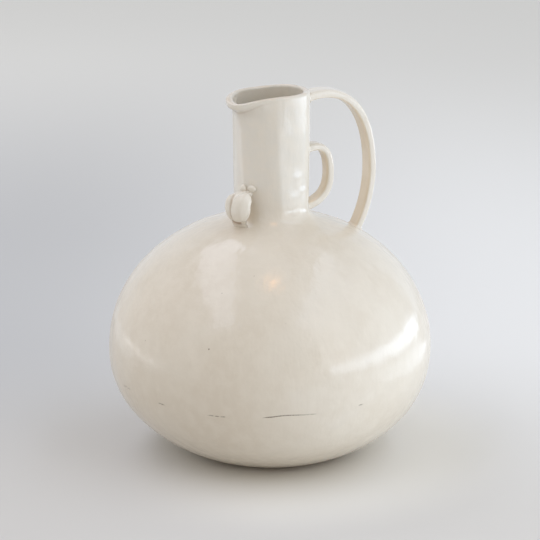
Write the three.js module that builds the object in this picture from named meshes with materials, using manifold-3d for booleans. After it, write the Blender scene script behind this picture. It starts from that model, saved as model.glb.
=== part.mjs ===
// A hand-built, glazed ceramic jug: squat round body, straight neck with a pulled pouring lip,
// one large strap handle from rim to shoulder, a loop lug inside it and a small loop lug under the lip.
// The clay pieces are modelled one by one, as they are made, with a thin film of slip left between them.
// Millimetres, +Z up, origin on the standing surface at the body's axis, main handle along +X.
import * as THREE from 'three';
import { mergeVertices } from 'three/addons/utils/BufferGeometryUtils.js';
import Module from 'manifold-3d';

const wasm = await Module();
wasm.setup();

// Body
const bodyRadius = 134;
const bellyHeight = 89.6;
const upperRise = 113;
const upperFullness = 2.02;
const lowerFullness = 2.13;
const footRadius = 54;
const footEdge = 2;
const bodyWall = 6.5;
const floorThickness = 7;
const seamHeight = 70;
const seamBevel = 6;
const seamCoilHeight = 17;
const seamCoilBulge = 3.5;

// Neck and pouring lip
const neckRadius = 32;
const neckTaper = 1;
const neckWall = 4.6;
const neckTubeShare = 0.7;
const rimHeight = 303;
const rimWall = 4.3;
const landingStep = 1.5;
const collarHeight = 9;
const collarWidth = 9;
const collarHollow = 0.75;
const featherEdge = 0.5;
const spoutAzimuth = 190;
const spoutReach = 9;
const spoutDip = 5;
const spoutSpread = 30;
const spoutPinch = 1.5;
const rimTilt = 1.2;

// Main handle
const handleAzimuth = 0;
const handleWidth = 21.5;
const handleFootWidth = 17;
const handleThickness = 4.8;
const handleRootThickness = 7.3;
const handleReach = 57.3;
const handleDrop = 7.4;
const handleCrown = 10;
const handleFootRadius = 77;

// Loop lug beside the neck, inside the handle
const sideLugAzimuth = 0;
const sideLugWidth = 13.5;
const sideLugThickness = 5;
const sideLugReach = 19.6;
const sideLugTop = 53;
const sideLugFoot = 7.5;

// Loop lug below the pouring lip
const frontLugAzimuth = 210;
const frontLugWidth = 11;
const frontLugBelly = 1.2;
const frontLugThickness = 5;
const frontLugReach = 12.6;
const frontLugTop = 24;
const frontLugFoot = 3.5;

// Joints
const slipGap = 0.3;
const rootDepth = 4;
const rootFlare = 0.22;
const wadSpread = 3.2;
const wadSwell = 3.8;
const pelletRadius = 4;

// Counts of facets
const turns = 48;
const strapSteps = 30;
const lugSteps = 22;

const radians = THREE.MathUtils.degToRad;

// Body profile: one superellipse above the widest level, another below it, cut flat by the foot.
const lowerDepth = bellyHeight / (1 - (footRadius / bodyRadius) ** lowerFullness) ** (1 / lowerFullness);

function half(z) {
  return z >= bellyHeight
    ? { rise: upperRise, power: upperFullness, sign: 1 }
    : { rise: lowerDepth, power: lowerFullness, sign: -1 };
}

function wallAngle(z, inset) {
  const { rise, power, sign } = half(z);
  const share = Math.abs(z - bellyHeight) / (rise - inset);
  return sign * Math.asin(Math.min(1, share) ** (power / 2));
}

function wallPoint(angle, inset) {
  const { rise, power, sign } = half(angle >= 0 ? bellyHeight : 0);
  const radius = (bodyRadius - inset) * Math.cos(angle) ** (2 / power);
  const height = bellyHeight + sign * (rise - inset) * Math.abs(Math.sin(angle)) ** (2 / power);
  return [radius, height];
}

// Points along the body wall between two heights, inset from the outer face.
function wallArc(fromZ, toZ, count, inset) {
  const start = wallAngle(fromZ, inset);
  const end = wallAngle(toZ, inset);
  return Array.from({ length: count + 1 }, (_, i) => wallPoint(start + ((end - start) * i) / count, inset));
}

// The same across the widest level, with a point on that level.
function wallArcAcross(fromZ, toZ, below, above, inset) {
  const rising = toZ > fromZ;
  const first = wallArc(fromZ, bellyHeight, rising ? below : above, inset);
  return [...first, ...wallArc(bellyHeight, toZ, rising ? above : below, inset).slice(1)];
}

function shoulderHeight(radius, inset = 0) {
  const share = (radius / (bodyRadius - inset)) ** upperFullness;
  return bellyHeight + (upperRise - inset) * (1 - share) ** (1 / upperFullness);
}

function shoulderSlope(radius) {
  return (shoulderHeight(radius + 0.5) - shoulderHeight(radius - 0.5));
}

// Heights that several pieces share.
const neckBaseRadius = neckRadius - neckTaper;
const landing = shoulderHeight(neckBaseRadius + landingStep);
const neckBottom = landing + slipGap;
const neckTop = neckBottom + (rimHeight - neckBottom) * neckTubeShare;
const lipBottom = neckTop + slipGap;
const boreBase = neckBaseRadius - neckWall;
const boreTop = neckRadius - neckWall;

function neckOuter(z) {
  const share = THREE.MathUtils.clamp((z - neckBottom) / (neckTop - neckBottom), 0, 1);
  return neckBaseRadius + neckTaper * share;
}

// Geometry helpers
function clean(geometry) {
  geometry.deleteAttribute('normal');
  geometry.deleteAttribute('uv');
  const merged = mergeVertices(geometry, 1e-4);
  const index = merged.index.array;
  const kept = [];
  for (let i = 0; i < index.length; i += 3) {
    const [a, b, c] = [index[i], index[i + 1], index[i + 2]];
    if (a !== b && b !== c && c !== a) kept.push(a, b, c);
  }
  merged.setIndex(kept);
  return merged;
}

function lathe(profile) {
  const points = profile.map(([radius, height]) => new THREE.Vector2(radius, height));
  return clean(new THREE.LatheGeometry(points, turns).rotateX(Math.PI / 2));
}

function ring(profile) {
  return lathe([...profile, profile[0]]);
}

function toSolid(geometry) {
  const mesh = new wasm.Mesh({
    numProp: 3,
    vertProperties: new Float32Array(geometry.attributes.position.array),
    triVerts: new Uint32Array(geometry.index.array),
  });
  mesh.merge();
  return new wasm.Manifold(mesh);
}

function toGeometry(solid) {
  const mesh = solid.getMesh();
  const geometry = new THREE.BufferGeometry();
  geometry.setAttribute('position', new THREE.BufferAttribute(new Float32Array(mesh.vertProperties), 3));
  geometry.setIndex(new THREE.BufferAttribute(new Uint32Array(mesh.triVerts), 1));
  return geometry;
}

const jug = new THREE.Group();
jug.name = 'jug';

function add(name, geometry, look) {
  geometry.computeVertexNormals();
  const material = new THREE.MeshStandardMaterial({ metalness: 0, ...look });
  const mesh = new THREE.Mesh(geometry, material);
  mesh.name = name;
  jug.add(mesh);
}

const glaze = { color: 0xd8cfc0, roughness: 0.3 };
const strapGlaze = { color: 0xdcd4c7, roughness: 0.3 };
const innerGlaze = { color: 0xb9ad98, roughness: 0.4 };
const bareClay = { color: 0xb59f84, roughness: 0.85 };

// Floor slab: a flat disc whose edge runs on into the wall of the bowl.
const slabEdge = wallArc(footEdge, floorThickness, 3, 0);
add('floor_slab', lathe([[0, 0], [footRadius - footEdge / 2, 0], ...slabEdge, [0, floorThickness]]), bareClay);

// Lower bowl: stands on the slab, its upper edge bevelled up towards the inside.
const bowlBottom = floorThickness + slipGap;
const bowlOuter = wallArc(bowlBottom, seamHeight - slipGap * 0.7, 8, 0);
const bowlInner = wallArc(seamHeight + seamBevel - slipGap * 0.7, bowlBottom, 7, bodyWall);
add('lower_bowl', ring([...bowlOuter, ...bowlInner]), glaze);

// Upper dome: sits on the bowl's bevel and ends in a flat landing for the neck.
const domeOuter = wallArcAcross(seamHeight + slipGap * 0.7, landing, 2, 12, 0);
const domeCeiling = shoulderHeight(boreBase, bodyWall);
const domeInner = wallArcAcross(domeCeiling, seamHeight + seamBevel + slipGap * 0.7, 2, 9, bodyWall);
add('upper_dome', ring([...domeOuter, [boreBase, landing], ...domeInner]), glaze);

// Coil worked into the inside of the seam.
const coilFrom = seamHeight + seamBevel - seamCoilHeight / 2;
const coilTo = seamHeight + seamBevel + seamCoilHeight / 2;
const innerLine = [...bowlInner, ...domeInner].sort((a, b) => a[1] - b[1]);

function innerRadius(height) {
  const i = Math.max(1, innerLine.findIndex((point) => point[1] >= height));
  const [[r0, z0], [r1, z1]] = [innerLine[i - 1], innerLine[i]];
  return r0 + ((r1 - r0) * (height - z0)) / (z1 - z0);
}

const coilLevels = innerLine.map((point) => point[1]).filter((z) => z > coilFrom + 1 && z < coilTo - 1);
const coilBack = [coilFrom, ...coilLevels, coilTo].map((height) => [innerRadius(height) - slipGap, height]);
const coilFront = [1, 0.75, 0.5, 0.25, 0].map((share) => {
  const height = coilFrom + seamCoilHeight * share;
  const bulge = seamCoilBulge * Math.sin(Math.PI * share);
  return [innerRadius(height) - slipGap - featherEdge - bulge, height];
});
add('seam_coil', ring([...coilBack, ...coilFront]), innerGlaze);

// Neck tube: stands on the dome's landing.
add('neck_tube', ring([
  [neckBaseRadius, neckBottom],
  [neckOuter((neckBottom + neckTop) / 2), (neckBottom + neckTop) / 2],
  [neckRadius, neckTop],
  [boreTop, neckTop],
  [boreBase, neckBottom],
]), glaze);

// Collar: the coil that fills the corner between neck and shoulder.
const collarTop = neckBottom + collarHeight;
const collarRim = neckBaseRadius + collarWidth;
const collarFrom = neckBaseRadius + landingStep + slipGap;

function collarFace(share) {
  const low = [collarRim, shoulderHeight(collarRim) + slipGap + featherEdge];
  const high = [neckOuter(collarTop) + slipGap + featherEdge, collarTop];
  const hollow = collarHollow * 4 * share * (1 - share) * 0.5;
  const radius = low[0] + (high[0] - low[0]) * share;
  const height = low[1] + (high[1] - low[1]) * share;
  return [radius + (high[0] - radius) * hollow, height + (low[1] - height) * hollow];
}

const collarOuter = Array.from({ length: 6 }, (_, i) => collarFace(i / 5));
const collarUnder = Array.from({ length: 3 }, (_, i) => {
  const radius = collarFrom + ((collarRim - collarFrom) * i) / 2;
  return [radius, shoulderHeight(radius) + slipGap];
});
add('neck_collar', ring([
  ...collarUnder,
  ...collarOuter,
  [neckOuter(collarTop) + slipGap, collarTop],
  [neckOuter(neckBottom) + slipGap, neckBottom + slipGap],
]), glaze);

// Pouring lip: the last band of the neck, its front pulled out and down to a spout.
function pull(geometry) {
  const position = geometry.attributes.position;
  for (let i = 0; i < position.count; i += 1) {
    const [x, y, z] = [position.getX(i), position.getY(i), position.getZ(i)];
    const share = THREE.MathUtils.clamp((z - lipBottom) / (rimHeight - lipBottom), 0, 1);
    const turn = Math.atan2(y, x) - radians(spoutAzimuth);
    const away = THREE.MathUtils.radToDeg(Math.abs(Math.atan2(Math.sin(turn), Math.cos(turn))));
    const tongue = Math.exp(-((away / spoutSpread) ** 2));
    const waist = Math.exp(-(((away - 2.2 * spoutSpread) / (0.8 * spoutSpread)) ** 2));
    const shift = spoutReach * share ** 1.7 * tongue - spoutPinch * share * waist;
    const radius = Math.hypot(x, y);
    const scale = (radius + shift) / radius;
    const level = rimTilt * Math.cos(turn) + spoutDip * tongue;
    position.setXYZ(i, x * scale, y * scale, z - level * share ** 3);
  }
  return geometry;
}

const rimInner = neckRadius - rimWall;
const rimMiddle = neckRadius - rimWall / 2;
const rimShoulder = rimHeight - rimWall / 2;
const lipRise = rimShoulder - lipBottom;
const rimBead = Array.from({ length: 5 }, (_, i) => {
  const angle = (Math.PI * i) / 4;
  return [rimMiddle + (rimWall / 2) * Math.cos(angle), rimShoulder + (rimWall / 2) * Math.sin(angle)];
});
add('pouring_lip', pull(ring([
  [neckRadius, lipBottom],
  [neckRadius, lipBottom + lipRise * 0.3],
  [neckRadius, lipBottom + lipRise * 0.55],
  [neckRadius, lipBottom + lipRise * 0.8],
  ...rimBead,
  [rimInner, lipBottom + lipRise * 0.7],
  [rimInner, lipBottom + lipRise * 0.4],
  [boreTop, lipBottom],
])), glaze);

// The room taken by body, collar and neck, with the film of slip: straps and wads end on it.
const roomWall = wallArc(seamHeight, shoulderHeight(collarRim), 22, -slipGap);
const room = toSolid(lathe([
  [0, seamHeight],
  ...roomWall,
  ...collarOuter.map(([radius, height]) => [radius + slipGap, height + slipGap]),
  [neckOuter(collarTop) + slipGap, collarTop + 2 * slipGap],
  [neckRadius + slipGap, neckTop],
  [neckRadius + slipGap, rimHeight + 2 * Math.abs(rimTilt)],
  [0, rimHeight + 2 * Math.abs(rimTilt)],
]));

// Straps: a flat section with rounded edges, carried along a path in an upright plane through the axis.
function section(width, thickness) {
  const round = thickness * 0.42;
  const [w, t] = [width / 2, thickness / 2];
  const shape = new THREE.Shape();
  shape.moveTo(-w + round, -t);
  shape.lineTo(w - round, -t);
  shape.absarc(w - round, -t + round, round, -Math.PI / 2, 0);
  shape.lineTo(w, t - round);
  shape.absarc(w - round, t - round, round, 0, Math.PI / 2);
  shape.lineTo(-w + round, t);
  shape.absarc(-w + round, t - round, round, Math.PI / 2, Math.PI);
  shape.lineTo(-w, -t + round);
  shape.absarc(-w + round, -t + round, round, Math.PI, Math.PI * 1.5);
  return shape;
}

function strap({ path, azimuth, width, footWidth, belly, thickness, rootThickness, steps, swell }) {
  const shape = section(width + 2 * swell, thickness + 2 * swell);
  const geometry = clean(new THREE.ExtrudeGeometry(shape, {
    depth: 1,
    steps,
    bevelEnabled: false,
    curveSegments: 2,
  }));
  const outward = new THREE.Vector3(Math.cos(radians(azimuth)), Math.sin(radians(azimuth)), 0);
  const sideways = new THREE.Vector3(-outward.y, outward.x, 0);
  const up = new THREE.Vector3(0, 0, 1);
  const length = path.getLength();
  const position = geometry.attributes.position;
  const placed = new THREE.Vector3();
  for (let i = 0; i < position.count; i += 1) {
    const share = THREE.MathUtils.clamp(position.getZ(i), 0, 1);
    const point = path.getPointAt(share);
    const tangent = path.getTangentAt(share);
    const fromEnd = Math.min(share, 1 - share) * length - rootDepth;
    const flare = 1 + rootFlare * Math.exp(-((Math.max(0, fromEnd) / width) ** 2) * 4);
    const thinning = THREE.MathUtils.smoothstep(share, 0.2, 0.58);
    const taper = 1 + (footWidth / width - 1) * share;
    const fullness = 1 + belly * Math.sin(Math.PI * share) ** 2;
    const side = position.getX(i) * flare * taper * fullness;
    const lift = position.getY(i) * (1 + (rootThickness / thickness - 1) * (1 - thinning));
    placed.set(0, 0, 0);
    placed.addScaledVector(outward, point.x - tangent.y * lift);
    placed.addScaledVector(up, point.y + tangent.x * lift);
    placed.addScaledVector(sideways, side);
    position.setXYZ(i, placed.x, placed.y, placed.z);
  }
  return toSolid(geometry);
}

function bow(points) {
  const path = new THREE.CurvePath();
  for (let i = 0; i + 3 < points.length; i += 3) {
    path.add(new THREE.CubicBezierCurve(...points.slice(i, i + 4).map(([r, z]) => new THREE.Vector2(r, z))));
  }
  return path;
}

// A wad of soft clay pressed round a root: a flattened ball, open for the strap, seated on the wall.
function wad({ azimuth, at, lean, along, across, high }, strapSpec) {
  const ball = clean(new THREE.SphereGeometry(1, 18, 10));
  ball.scale(high, across, along);
  ball.rotateY(lean);
  ball.translate(at[0], 0, at[1]);
  ball.rotateZ(radians(azimuth));
  let solid = toSolid(ball).subtract(room);
  if (strapSpec) solid = solid.subtract(strap({ ...strapSpec, swell: slipGap }));
  return toGeometry(solid);
}

// Main handle, from just below the rim to the shoulder.
const handleRoot = rimHeight - handleDrop;
const handleFoot = shoulderHeight(handleFootRadius);
const handleSpan = handleRoot - handleFoot;
const handleOut = neckRadius + handleReach;
const handleSpec = {
  path: bow([
    [neckRadius - rootDepth, handleRoot],
    [neckRadius + handleReach * 0.62, handleRoot + handleCrown],
    [handleOut, handleRoot - handleSpan * 0.155],
    [handleOut, handleFoot + handleSpan * 0.445],
    [handleOut, handleFoot + handleSpan * 0.26],
    [handleFootRadius + (handleOut - handleFootRadius) * 0.5, handleFoot + handleSpan * 0.09],
    [handleFootRadius - rootDepth * 0.55, handleFoot - rootDepth],
  ]),
  azimuth: handleAzimuth,
  width: handleWidth,
  footWidth: handleFootWidth,
  belly: 0,
  thickness: handleThickness,
  rootThickness: handleRootThickness,
  steps: strapSteps,
};
add('main_handle', toGeometry(strap({ ...handleSpec, swell: 0 }).subtract(room)), strapGlaze);
add('handle_upper_wad', wad({
  azimuth: handleAzimuth,
  at: [neckRadius, handleRoot],
  lean: 0,
  along: handleRootThickness / 2 + wadSpread,
  across: handleWidth * (0.5 + rootFlare / 2) + wadSpread * 1.3,
  high: wadSwell,
}, handleSpec), strapGlaze);
add('handle_lower_wad', wad({
  azimuth: handleAzimuth,
  at: [handleFootRadius, handleFoot],
  lean: -Math.atan2(1, -shoulderSlope(handleFootRadius)),
  along: handleThickness / 2 + wadSpread * 1.3,
  across: handleWidth * (0.5 + rootFlare / 2) + wadSpread * 0.8,
  high: wadSwell,
}, handleSpec), strapGlaze);

// Loop lug on the neck, inside the handle.
const sideTop = landing + sideLugTop;
const sideFoot = landing + sideLugFoot;
const sideSpan = sideTop - sideFoot;
const sideOut = neckRadius + sideLugReach;
const sideSpec = {
  path: bow([
    [neckRadius - rootDepth, sideTop],
    [neckRadius + sideLugReach * 0.84, sideTop + sideSpan * 0.17],
    [sideOut, sideFoot + sideSpan * 0.83],
    [sideOut, sideFoot + sideSpan * 0.52],
    [sideOut, sideFoot + sideSpan * 0.2],
    [neckRadius + sideLugReach * 0.7, sideFoot],
    [neckRadius - rootDepth, sideFoot - sideSpan * 0.1],
  ]),
  azimuth: sideLugAzimuth,
  width: sideLugWidth,
  footWidth: sideLugWidth,
  belly: 0,
  thickness: sideLugThickness,
  rootThickness: sideLugThickness,
  steps: lugSteps,
};
add('side_lug', toGeometry(strap({ ...sideSpec, swell: 0 }).subtract(room)), strapGlaze);
add('side_lug_upper_wad', wad({
  azimuth: sideLugAzimuth,
  at: [neckOuter(sideTop), sideTop],
  lean: 0,
  along: sideLugThickness / 2 + wadSpread * 0.9,
  across: sideLugWidth * (0.5 + rootFlare / 2) + wadSpread * 0.7,
  high: wadSwell,
}, sideSpec), strapGlaze);

add('side_lug_lower_wad', wad({
  azimuth: sideLugAzimuth,
  at: [neckOuter(sideFoot) + sideLugThickness * 0.3, sideFoot],
  lean: -Math.PI / 10,
  along: sideLugThickness / 2 + wadSpread,
  across: sideLugWidth * (0.5 + rootFlare / 2) + wadSpread * 0.7,
  high: wadSwell,
}, sideSpec), strapGlaze);

// Loop lug below the pouring lip: it leaves the neck and curls back to it just above the shoulder.
const frontTop = landing + frontLugTop;
const frontFoot = landing + frontLugFoot;
const frontSpan = frontTop - frontFoot;
const frontOut = neckRadius + frontLugReach;
const frontSpec = {
  path: bow([
    [neckRadius - rootDepth, frontTop],
    [neckRadius + frontLugReach * 0.75, frontTop + frontSpan * 0.14],
    [frontOut, frontFoot + frontSpan * 0.9],
    [frontOut, frontFoot + frontSpan * 0.52],
    [frontOut, frontFoot + frontSpan * 0.2],
    [neckRadius + frontLugReach * 0.75, frontFoot - frontSpan * 0.03],
    [neckRadius - rootDepth, frontFoot],
  ]),
  azimuth: frontLugAzimuth,
  width: frontLugWidth,
  footWidth: frontLugWidth * 0.7,
  belly: frontLugBelly,
  thickness: frontLugThickness,
  rootThickness: frontLugThickness,
  steps: lugSteps,
};
add('front_lug', toGeometry(strap({ ...frontSpec, swell: 0 }).subtract(room)), strapGlaze);

// Two pellets of clay thumbed over the upper root.
const pelletHeight = frontTop + frontLugThickness / 2 + pelletRadius * 0.5;
const pelletTurn = THREE.MathUtils.radToDeg((pelletRadius * 1.15 + slipGap) / neckOuter(pelletHeight));
for (const [name, side] of [['front_lug_left_pellet', -1], ['front_lug_right_pellet', 1]]) {
  add(name, wad({
    azimuth: frontLugAzimuth + side * pelletTurn,
    at: [neckOuter(pelletHeight), pelletHeight],
    lean: 0,
    along: pelletRadius * 0.8,
    across: pelletRadius,
    high: pelletRadius,
  }, frontSpec), strapGlaze);
}

export default jug;
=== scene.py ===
import math

import bpy
import numpy as np
from mathutils import Matrix, Vector


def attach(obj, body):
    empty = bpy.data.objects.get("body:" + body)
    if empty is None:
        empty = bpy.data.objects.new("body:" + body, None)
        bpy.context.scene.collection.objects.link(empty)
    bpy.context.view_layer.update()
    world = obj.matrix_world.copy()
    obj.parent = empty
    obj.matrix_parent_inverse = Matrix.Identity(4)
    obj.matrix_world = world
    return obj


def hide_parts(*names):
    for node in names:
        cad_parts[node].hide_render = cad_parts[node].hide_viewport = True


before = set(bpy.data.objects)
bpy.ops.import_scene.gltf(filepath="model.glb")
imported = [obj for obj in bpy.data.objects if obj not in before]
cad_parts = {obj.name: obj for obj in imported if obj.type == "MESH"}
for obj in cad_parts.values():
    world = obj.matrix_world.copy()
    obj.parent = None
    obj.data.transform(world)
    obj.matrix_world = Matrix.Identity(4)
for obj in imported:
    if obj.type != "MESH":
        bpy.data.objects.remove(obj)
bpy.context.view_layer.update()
scene = bpy.context.scene

# Lengths below are in millimetres, in the frame of the solids; meshes are made in metres.
MM = 0.001
# Points round each ring of the vessel, and along a line before it is thinned out.
COLUMNS = 512
DENSE = 4000

# The photograph looks at the jug from this azimuth, measured as the views measure it.
VIEW = math.radians(-24)
RIGHT = np.array([math.cos(VIEW), math.sin(VIEW), 0.0])

BODY_RADIUS = 134.0
BELLY_HEIGHT = 89.6
UPPER_RISE = 113.0
UPPER_POWER = 2.02
LOWER_POWER = 2.13
FOOT_RADIUS = 54.0
LOWER_DEPTH = BELLY_HEIGHT / (1 - (FOOT_RADIUS / BODY_RADIUS) ** LOWER_POWER) ** (1 / LOWER_POWER)
BODY_WALL = 6.5
FLOOR_THICKNESS = 7.0
SEAM = 70.0
SEAM_INSIDE = 76.0
# Film of slip between pieces that are pressed together.
SLIP = 0.3
# Below this height the wall is drawn by height, above it by radius.
STEEP_LIMIT = 150.0
OUTER_SPLIT = 180.0
INNER_SPLIT = 170.0
# Depth of the hand marks on the wall, in the bore, and what the neck's outside adds to the bore's.
WALL_MARKS = 0.8
BORE_MARKS = 0.4
NECK_MARKS = 0.4
# How far the neck leans and the foot sits off centre.
NECK_LEAN = 1.0
FOOT_OFFSET = 1.2

NECK_RADIUS = 32.0
NECK_BASE = 31.0
BORE_BASE = 26.4
BORE_TOP = 27.4
BORE_FOOT = 30.5
RIM = 303.0
RIM_WALL = 4.3
SPOUT = math.radians(190)
NECK_SHARE = 0.7


# Noise on a seeded lattice, used for the unevenness of hand-built clay.
def lattice(x, y, z, seed):
    mixed = (x * 73856093) ^ (y * 19349663) ^ (z * 83492791) ^ (seed * 49979687)
    mixed = (mixed ^ (mixed >> 13)) * 1274126177
    mixed = mixed ^ (mixed >> 16)
    return (mixed & 0xFFFF) / 32767.5 - 1.0


def noise(points, size, seed):
    places = points / size + 37.5
    corner = np.floor(places).astype(np.int64)
    part = places - corner
    part = part ** 3 * (part * (part * 6 - 15) + 10)
    total = np.zeros(points.shape[:-1])
    for step in np.ndindex(2, 2, 2):
        weight = np.ones(points.shape[:-1])
        for axis in range(3):
            weight = weight * (part[..., axis] if step[axis] else 1 - part[..., axis])
        total += weight * lattice(*(corner[..., axis] + step[axis] for axis in range(3)), seed)
    return total


def smoothstep(value, low, high):
    share = np.clip((value - low) / (high - low), 0.0, 1.0)
    return share * share * (3 - 2 * share)


def turned(angle):
    return (angle + math.pi) % (2 * math.pi) - math.pi


# Body profile: one superellipse above the widest level, another below it.
def wall_radius(z, inset=0.0):
    z = np.asarray(z, float)
    above = np.clip((z - BELLY_HEIGHT) / (UPPER_RISE - inset), 0.0, 1.0)
    below = np.clip((BELLY_HEIGHT - z) / (LOWER_DEPTH - inset), 0.0, 1.0)
    upper = (1 - above ** UPPER_POWER) ** (1 / UPPER_POWER)
    lower = (1 - below ** LOWER_POWER) ** (1 / LOWER_POWER)
    return (BODY_RADIUS - inset) * np.where(z >= BELLY_HEIGHT, upper, lower)


def shoulder_height(radius, inset=0.0):
    share = (radius / (BODY_RADIUS - inset)) ** UPPER_POWER
    return BELLY_HEIGHT + (UPPER_RISE - inset) * (1 - share) ** (1 / UPPER_POWER)


def dense_wall(low, high, inset=0.0):
    z = np.linspace(low, high, DENSE)
    return np.stack([wall_radius(z, inset), z], 1)


def dense_shoulder(outer, inner, inset=0.0):
    radius = np.linspace(outer, inner, DENSE)
    return np.stack([radius, shoulder_height(radius, inset)], 1)


def bezier(points, count=400):
    points = np.asarray(points, float)
    pieces = []
    t = np.linspace(0, 1, count)[:, None]
    for i in range(0, len(points) - 3, 3):
        a, b, c, d = points[i:i + 4]
        pieces.append((1 - t) ** 3 * a + 3 * (1 - t) ** 2 * t * b + 3 * (1 - t) * t * t * c + t ** 3 * d)
    return np.concatenate([pieces[0], *(piece[1:] for piece in pieces[1:])])


def resample(line, spacing):
    steps = np.linalg.norm(np.diff(line, axis=0), axis=1)
    middles = (line[1:] + line[:-1]) / 2
    weights = np.concatenate([[0], np.cumsum(steps / spacing(middles))])
    count = max(2, int(round(weights[-1])) + 1)
    marks = np.linspace(0, weights[-1], count)
    return np.stack([np.interp(marks, weights, line[:, k]) for k in range(2)], 1)


LANDING = float(shoulder_height(NECK_BASE + 1.5))
NECK_BOTTOM = LANDING + SLIP
NECK_TOP = NECK_BOTTOM + (RIM - NECK_BOTTOM) * NECK_SHARE
COLLAR_RADIUS = 46.0
COLLAR_TOP = LANDING + 11.6
LIP_BOTTOM = NECK_TOP


def neck_radius(z):
    share = np.clip((np.asarray(z, float) - NECK_BOTTOM) / (NECK_TOP - NECK_BOTTOM), 0, 1)
    return NECK_BASE + (NECK_RADIUS - NECK_BASE) * share


# The seam between bowl and dome wanders up and down a little.
# It opened in the kiln as short hairline cracks.
# Each mark: angle from the camera's right-hand axis in degrees, height.
SEAM_MARKS = [
    (-180, 71.0), (-151, 71.7), (-131, 69.7), (-108.5, 68.1), (-91, 69.8), (-84.9, 71.7),
    (-76.3, 71.0), (-66, 71.4), (-57.4, 73.6), (-30, 71.5), (20, 70.0), (80, 69.2), (140, 70.6),
    (180, 71.0),
]
# Each crack: from angle, to angle, opening, how dark it is.
CRACKS = [
    (-153.8, -151.6, 0.8, 0.8), (-150.6, -149.4, 0.7, 0.7), (-132.4, -130.0, 0.7, 0.8),
    (-111.6, -110.0, 0.7, 0.8), (-109.3, -108.0, 0.6, 0.8), (-106.9, -105.6, 0.8, 0.85),
    (-92.2, -84.6, 1.15, 1.0), (-85.6, -79.2, 0.6, 0.9), (-80.4, -74.0, 0.4, 0.45),
    (-58.0, -56.6, 0.6, 0.7), (38.0, 47.0, 0.6, 0.7), (96.0, 99.0, 0.6, 0.7), (151.0, 156.0, 0.5, 0.6),
]


def camera_angle(azimuth):
    return np.degrees(turned(azimuth - VIEW))


def seam_shift(azimuth):
    angles, heights = zip(*SEAM_MARKS)
    level = np.interp(camera_angle(azimuth), angles, heights)
    kernel = np.hanning(13)
    kernel = kernel / kernel.sum()
    padded = np.concatenate([level[-6:], level, level[:6]])
    return np.convolve(padded, kernel, "valid") - SEAM


def crack_profile(azimuth):
    angle = camera_angle(azimuth)
    opening = np.zeros_like(angle)
    dark = np.zeros_like(angle)
    for low, high, gap, tone in CRACKS:
        half = (high - low) / 2
        share = np.clip(1 - np.abs(angle - (low + high) / 2) / (half + 0.2), 0, 1)
        opening = np.maximum(opening, gap * np.clip(share * 3, 0, 1))
        dark = np.maximum(dark, tone * np.clip(share * 3, 0, 1))
    return opening, dark


# The jug is not quite upright: the neck leans to one side and the foot sits off centre.
def sway(points):
    z = points[..., 2]
    lean = NECK_LEAN * smoothstep(z, 150, 205) + FOOT_OFFSET * (1 - smoothstep(z, 8, 75))
    return points + lean[..., None] * RIGHT


# A running mean round a closed ring.
def soften(values, width):
    kernel = np.hanning(width + 2)[1:-1]
    kernel = kernel / kernel.sum()
    half = width // 2
    padded = np.concatenate([values[-half:], values, values[:half]])
    return np.convolve(padded, kernel, "valid")


# Small bumps left by fingers on the neck: azimuth in degrees, height, size, how proud.
NECK_BUMPS = [
    (293, 235.5, 5.0, 0.55), (305, 223.5, 4.5, 0.5), (299, 229.0, 3.5, -0.35), (283, 219.0, 5.0, 0.35),
    (214, 262.0, 6.0, 0.25), (262, 250.0, 9.0, -0.25), (120, 240.0, 7.0, 0.35), (60, 255.0, 8.0, -0.3),
]


def neck_bumps(azimuth, z):
    total = np.zeros_like(azimuth)
    for angle, height, size, proud in NECK_BUMPS:
        across = NECK_BASE * turned(azimuth - math.radians(angle))
        total += proud * np.exp(-(across ** 2 + (z - height) ** 2) / size ** 2)
    return total


# The neck was rolled from a slab: flattened faces meet in soft upright edges.
# The main edge slants a little; the face to its right is bowed, deepest half way up.
def neck_flats(azimuth, z):
    ridge = -105.4 + (285 - z) * 0.111
    away = np.degrees(turned(azimuth - math.radians(ridge)))
    left = np.clip((away + 60) * -away / 30 ** 2, 0, None)
    right = np.clip(away * (46 - away) / 23 ** 2, 0, None)
    beyond = np.clip((away + 104) * -(away + 62) / 21 ** 2, 0, None)
    bow = 0.55 + 0.85 * smoothstep(z, 214, 246) - 0.95 * smoothstep(z, 250, 300)
    depth = 1.5 * left + 0.95 * bow * right + 0.8 * beyond
    reach = smoothstep(z, 200, 214) * (1 - 0.6 * smoothstep(z, 284, 300))
    return soften(depth, 15) * reach


# The spout: the rim is drawn out and down on one side and pinched in beside it, with a fold under the lip.
# Level of the rim, by angle from the camera's right-hand axis in degrees.
RIM_MARKS = [
    (-180, -1.3), (-160, -2.3), (-146, -4.6), (-138, -5.5), (-128, -4.5), (-119, -2.9), (-105, -1.0),
    (-90, 0.0), (-75, 0.7), (-60, 1.0), (-35, 1.12), (0, 1.08), (30, 0.9), (57, 0.6), (72, 0.1),
    (90, -0.9), (105, -1.6), (120, -1.8), (137, -1.4), (152, -1.0), (166, -1.0), (180, -1.3),
]


def rim_level(azimuth):
    angles, heights = zip(*RIM_MARKS)
    level = np.interp(camera_angle(azimuth), angles, heights)
    return soften(level, 17)


def spout_share(azimuth, width):
    away = np.degrees(np.abs(turned(azimuth - SPOUT)))
    return np.exp(-((away / width) ** 2))


# How far the fold lies below the rim.
def fold_depth(azimuth):
    return 2.4 + 9.4 * spout_share(azimuth, 34)


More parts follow.
